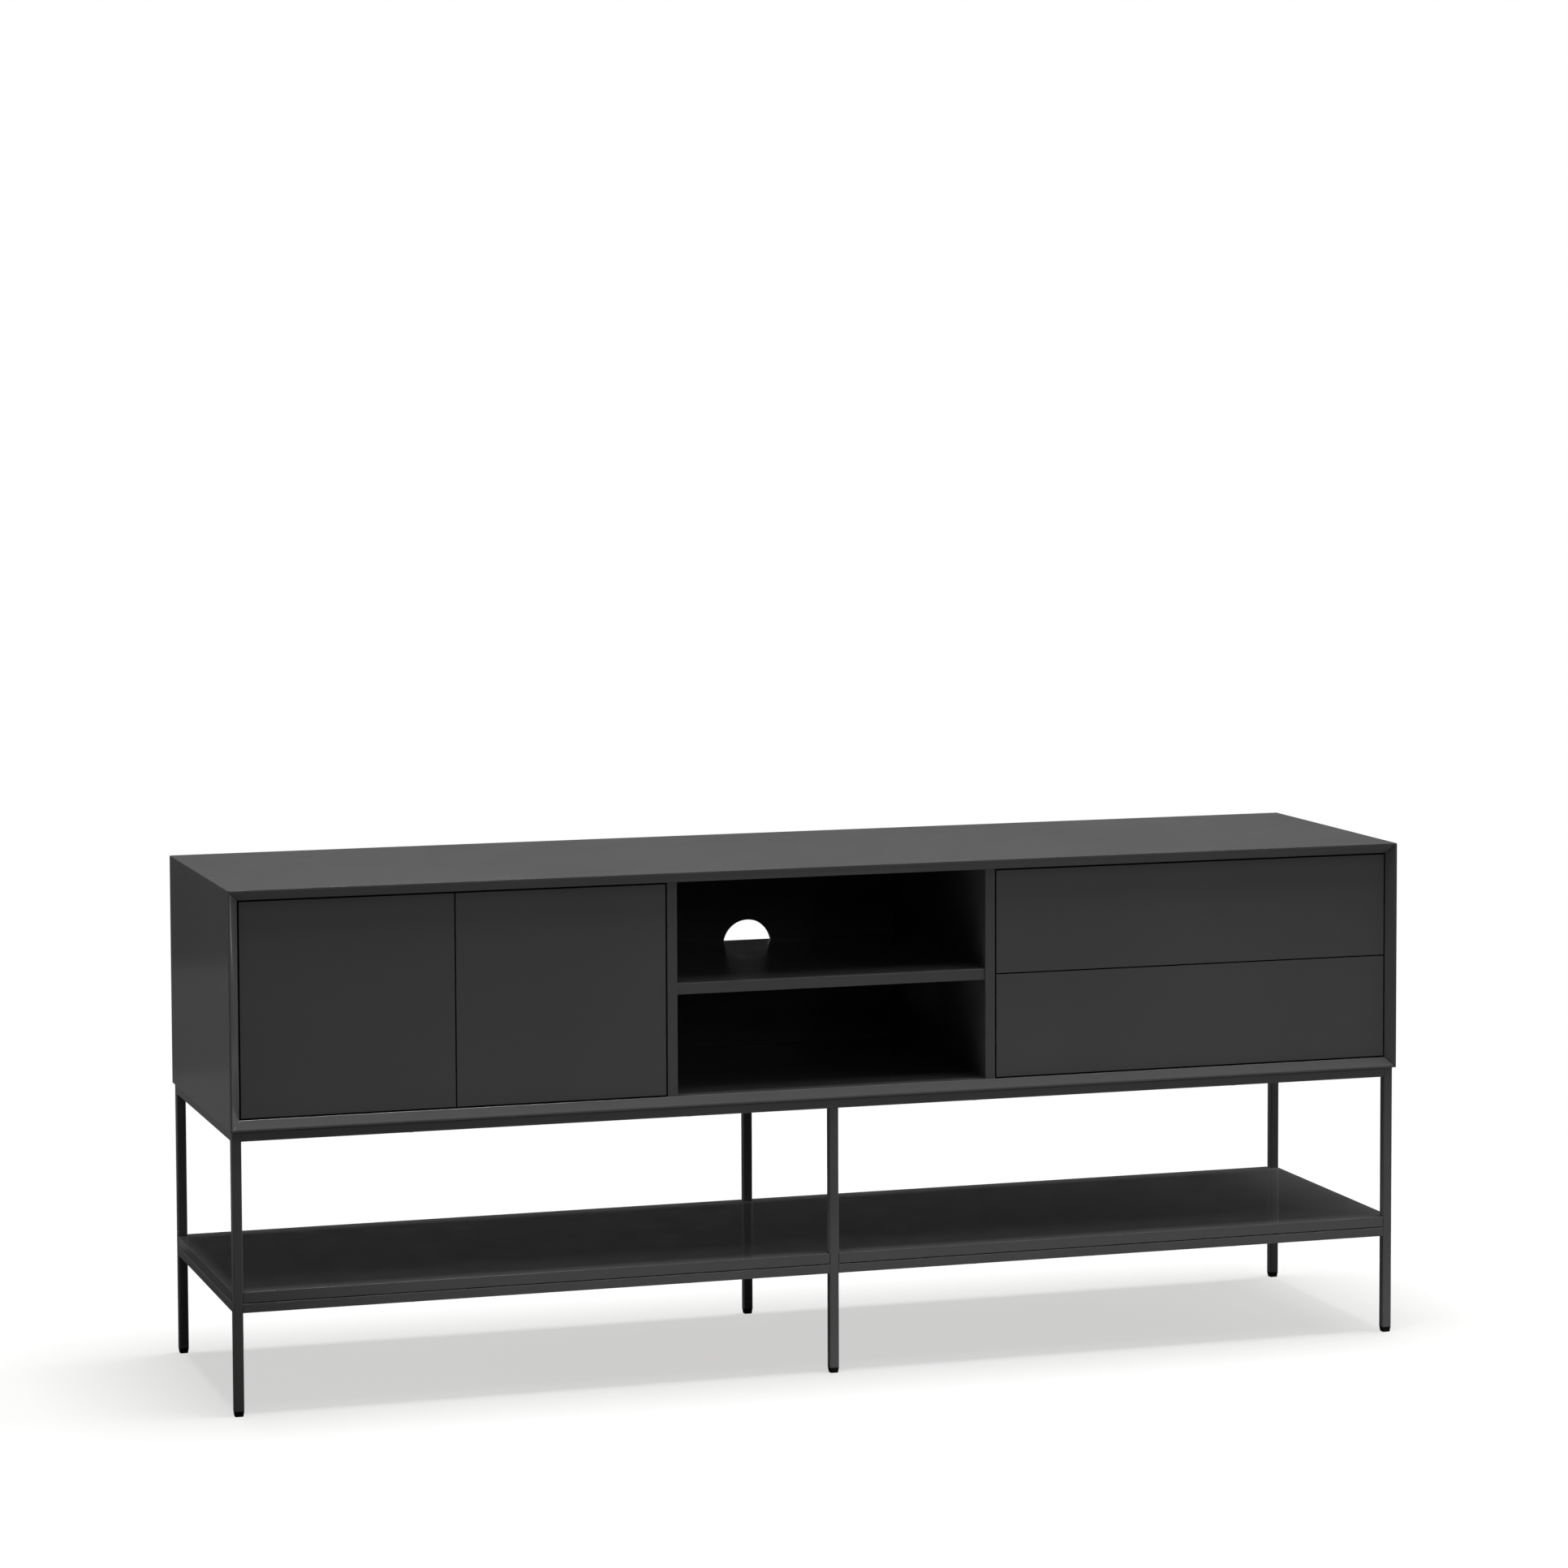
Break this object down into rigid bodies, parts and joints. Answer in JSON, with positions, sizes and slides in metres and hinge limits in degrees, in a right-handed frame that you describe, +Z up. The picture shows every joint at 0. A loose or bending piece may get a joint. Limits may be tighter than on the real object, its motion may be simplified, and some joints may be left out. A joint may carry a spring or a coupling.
{
  "type": "sideboard with doors and drawers",
  "caption": "Low, long graphite sideboard with bevelled mitred carcass, flush hinged doors, open shelf bay, flush drawers and an open square-tube base with a lower shelf.",
  "frame": {"origin": "on the floor, under the middle of the whole piece", "axes": "+X to the right along the length seen from the front, +Y from the front to the back, +Z up"},
  "size_m": [1.8, 0.46, 0.754],
  "materials": {
    "graphite_lacquer": "satin lacquered fibreboard, graphite grey",
    "inner_board": "matt graphite melamine-faced board",
    "frame_steel": "satin powder coat on welded square steel tube",
    "zinc_steel": "bright zinc-plated pressed steel",
    "foot_plastic": "black moulded polyethylene glide"
  },
  "bodies": {
    "cabinet": {"top_panel": "graphite_lacquer", "bottom_panel": "graphite_lacquer", "left_side_panel": "graphite_lacquer", "right_side_panel": "graphite_lacquer", "left_divider": "graphite_lacquer", "right_divider": "graphite_lacquer", "centre_shelf": "graphite_lacquer", "back_panel": "graphite_lacquer", "cabinet_shelf": "inner_board", "lower_shelf": "graphite_lacquer", "left_door_lower_hinge_arm": "zinc_steel", "left_door_upper_hinge_arm": "zinc_steel", "right_door_lower_hinge_arm": "zinc_steel", "right_door_upper_hinge_arm": "zinc_steel", "upper_drawer_left_runner": "zinc_steel", "upper_drawer_right_runner": "zinc_steel", "lower_drawer_left_runner": "zinc_steel", "lower_drawer_right_runner": "zinc_steel", "front_left_leg": "frame_steel", "front_middle_leg": "frame_steel", "front_right_leg": "frame_steel", "rear_left_leg": "frame_steel", "rear_middle_leg": "frame_steel", "rear_right_leg": "frame_steel", "top_front_rail": "frame_steel", "top_rear_rail": "frame_steel", "top_left_rail": "frame_steel", "top_right_rail": "frame_steel", "lower_front_left_rail": "frame_steel", "lower_front_right_rail": "frame_steel", "lower_rear_left_rail": "frame_steel", "lower_rear_right_rail": "frame_steel", "lower_left_rail": "frame_steel", "lower_right_rail": "frame_steel", "front_left_foot": "foot_plastic", "front_middle_foot": "foot_plastic", "front_right_foot": "foot_plastic", "rear_left_foot": "foot_plastic", "rear_middle_foot": "foot_plastic", "rear_right_foot": "foot_plastic"},
    "left_door": {"left_door": "graphite_lacquer", "left_door_lower_hinge_cup": "zinc_steel", "left_door_upper_hinge_cup": "zinc_steel"},
    "right_door": {"right_door": "graphite_lacquer", "right_door_lower_hinge_cup": "zinc_steel", "right_door_upper_hinge_cup": "zinc_steel"},
    "upper_drawer": {"upper_drawer_front": "graphite_lacquer", "upper_drawer_left_side": "inner_board", "upper_drawer_right_side": "inner_board", "upper_drawer_back": "inner_board", "upper_drawer_bottom": "inner_board", "upper_drawer_left_slide": "zinc_steel", "upper_drawer_right_slide": "zinc_steel"},
    "lower_drawer": {"lower_drawer_front": "graphite_lacquer", "lower_drawer_left_side": "inner_board", "lower_drawer_right_side": "inner_board", "lower_drawer_back": "inner_board", "lower_drawer_bottom": "inner_board", "lower_drawer_left_slide": "zinc_steel", "lower_drawer_right_slide": "zinc_steel"}
  },
  "joints": [
    {"name": "left_door_hinge", "type": "hinge", "parent": "cabinet", "child": "left_door", "pos_m": [-0.8825, -0.22, 0.582], "axis": [0, 0, -1], "range_deg": [0, 100]},
    {"name": "right_door_hinge", "type": "hinge", "parent": "cabinet", "child": "right_door", "pos_m": [-0.2555, -0.22, 0.582], "axis": [0, 0, 1], "range_deg": [0, 100]},
    {"name": "upper_drawer_slide", "type": "slide", "parent": "cabinet", "child": "upper_drawer", "axis": [0, -1, 0], "range_m": [0, 0.28]},
    {"name": "lower_drawer_slide", "type": "slide", "parent": "cabinet", "child": "lower_drawer", "axis": [0, -1, 0], "range_m": [0, 0.28]}
  ]
}
